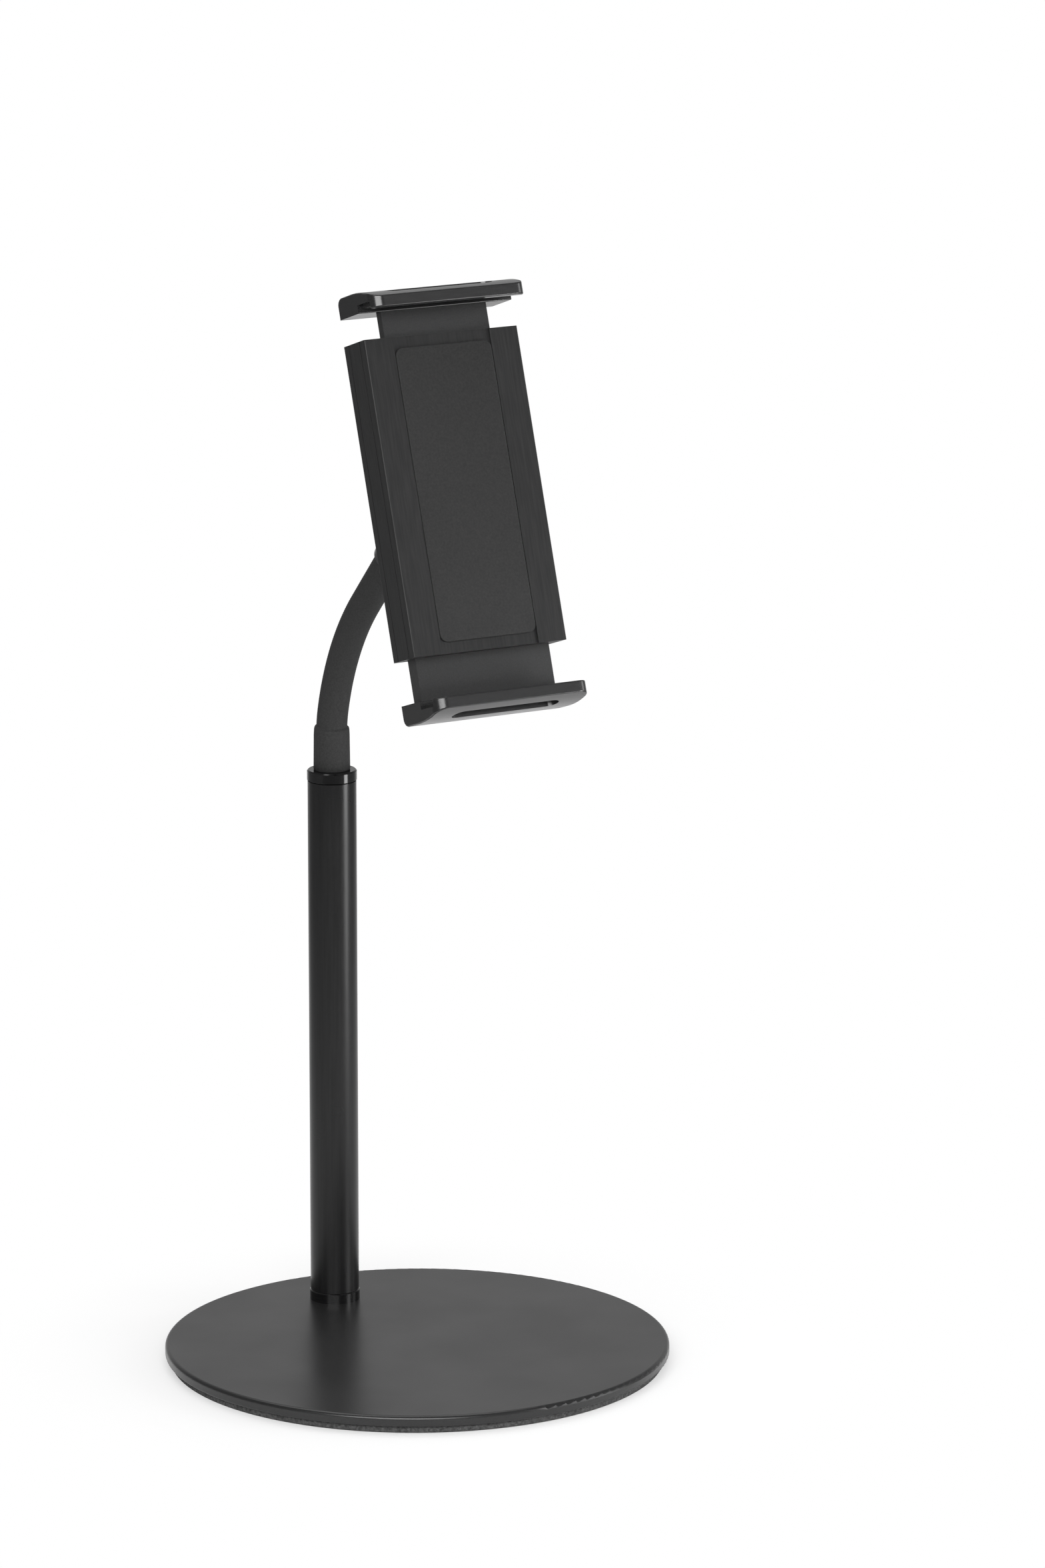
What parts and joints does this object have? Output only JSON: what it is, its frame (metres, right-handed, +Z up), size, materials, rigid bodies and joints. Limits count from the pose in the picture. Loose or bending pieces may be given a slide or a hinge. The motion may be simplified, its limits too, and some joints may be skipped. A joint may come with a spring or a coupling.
{
  "type": "tablet desk mount",
  "caption": "Desk stand for a phone or tablet: weighted round base, slim pole, flexible gooseneck and a tilting spring clamp with sliding jaws.",
  "frame": {"origin": "centre of the round base on the surface that it stands on", "axes": "+Z up along the pole, -Y to the front, where the clamp faces, +X to the right seen from the front"},
  "size_m": [0.19, 0.19, 0.4109],
  "materials": {
    "powder_coat": "satin black powder coat",
    "foam": "matt black foam",
    "screw_steel": "blackened steel",
    "polished_ring": "gloss black",
    "pole_coat": "satin black",
    "fitting_steel": "turned steel",
    "coil_steel": "wound steel",
    "neck_rubber": "matt black rubber",
    "ball_steel": "blackened steel",
    "seat_plastic": "plain acetal",
    "nut_plastic": "matt black plastic",
    "socket_plastic": "matt black plastic",
    "housing_anodised": "matt black anodised",
    "soft_pad": "soft black silicone",
    "guide_plastic": "black acetal",
    "arm_plastic": "black moulded plastic",
    "jaw_anodised": "satin black anodised",
    "spring_steel": "spring wire"
  },
  "bodies": {
    "stand": {"base_plate": "powder_coat", "base_pad": "foam", "pole_screw": "screw_steel", "foot_plug": "polished_ring", "pole_tube": "pole_coat", "top_plug": "polished_ring", "neck_ferrule": "fitting_steel", "neck_coil": "coil_steel", "neck_sheath": "neck_rubber"},
    "neck_head": {"ball_stud": "ball_steel"},
    "pan_ring": {"ball_seat": "seat_plastic"},
    "tilt_ring": {"ring_nut": "nut_plastic"},
    "clamp": {"ball_socket": "socket_plastic", "socket_screws": "screw_steel", "clamp_housing": "housing_anodised", "front_pad": "soft_pad", "upper_guide": "guide_plastic", "lower_guide": "guide_plastic", "upper_spring": "spring_steel", "lower_spring": "spring_steel", "upper_spring_pin": "spring_steel", "lower_spring_pin": "spring_steel"},
    "upper_slider": {"upper_arm": "arm_plastic", "upper_jaw": "jaw_anodised", "upper_liner": "soft_pad", "upper_jaw_screws": "screw_steel"},
    "lower_slider": {"lower_arm": "arm_plastic", "lower_jaw": "jaw_anodised", "lower_liner": "soft_pad", "lower_jaw_screws": "screw_steel"}
  },
  "joints": [
    {"name": "neck_bend", "type": "hinge", "parent": "stand", "child": "neck_head", "pos_m": [0, 0.0473, 0.2717], "axis": [1, 0, 0], "range_deg": [-40, 25], "deforming": ["neck_sheath", "neck_coil"]},
    {"name": "head_pan", "type": "hinge", "parent": "neck_head", "child": "pan_ring", "pos_m": [0, -0.00682, 0.32838], "axis": [0, 0.309, 0.9511], "range_deg": [-20, 20]},
    {"name": "head_tilt", "type": "hinge", "parent": "pan_ring", "child": "tilt_ring", "pos_m": [0, -0.00682, 0.32838], "axis": [1, 0, 0], "range_deg": [-60, 10]},
    {"name": "head_spin", "type": "hinge", "parent": "tilt_ring", "child": "clamp", "pos_m": [0, -0.00682, 0.32838], "axis": [0, -0.9511, 0.309], "continuous": true},
    {"name": "upper_jaw_slide", "type": "slide", "parent": "clamp", "child": "upper_slider", "axis": [0, 0.309, 0.9511], "range_m": [-0.0094, 0.04], "stiffness_N_per_m": 120, "springref_m": -0.06, "deforming": ["upper_spring"]},
    {"name": "lower_jaw_slide", "type": "slide", "parent": "clamp", "child": "lower_slider", "axis": [0, -0.309, -0.9511], "range_m": [-0.0156, 0.04], "stiffness_N_per_m": 120, "springref_m": -0.07, "deforming": ["lower_spring"]}
  ]
}
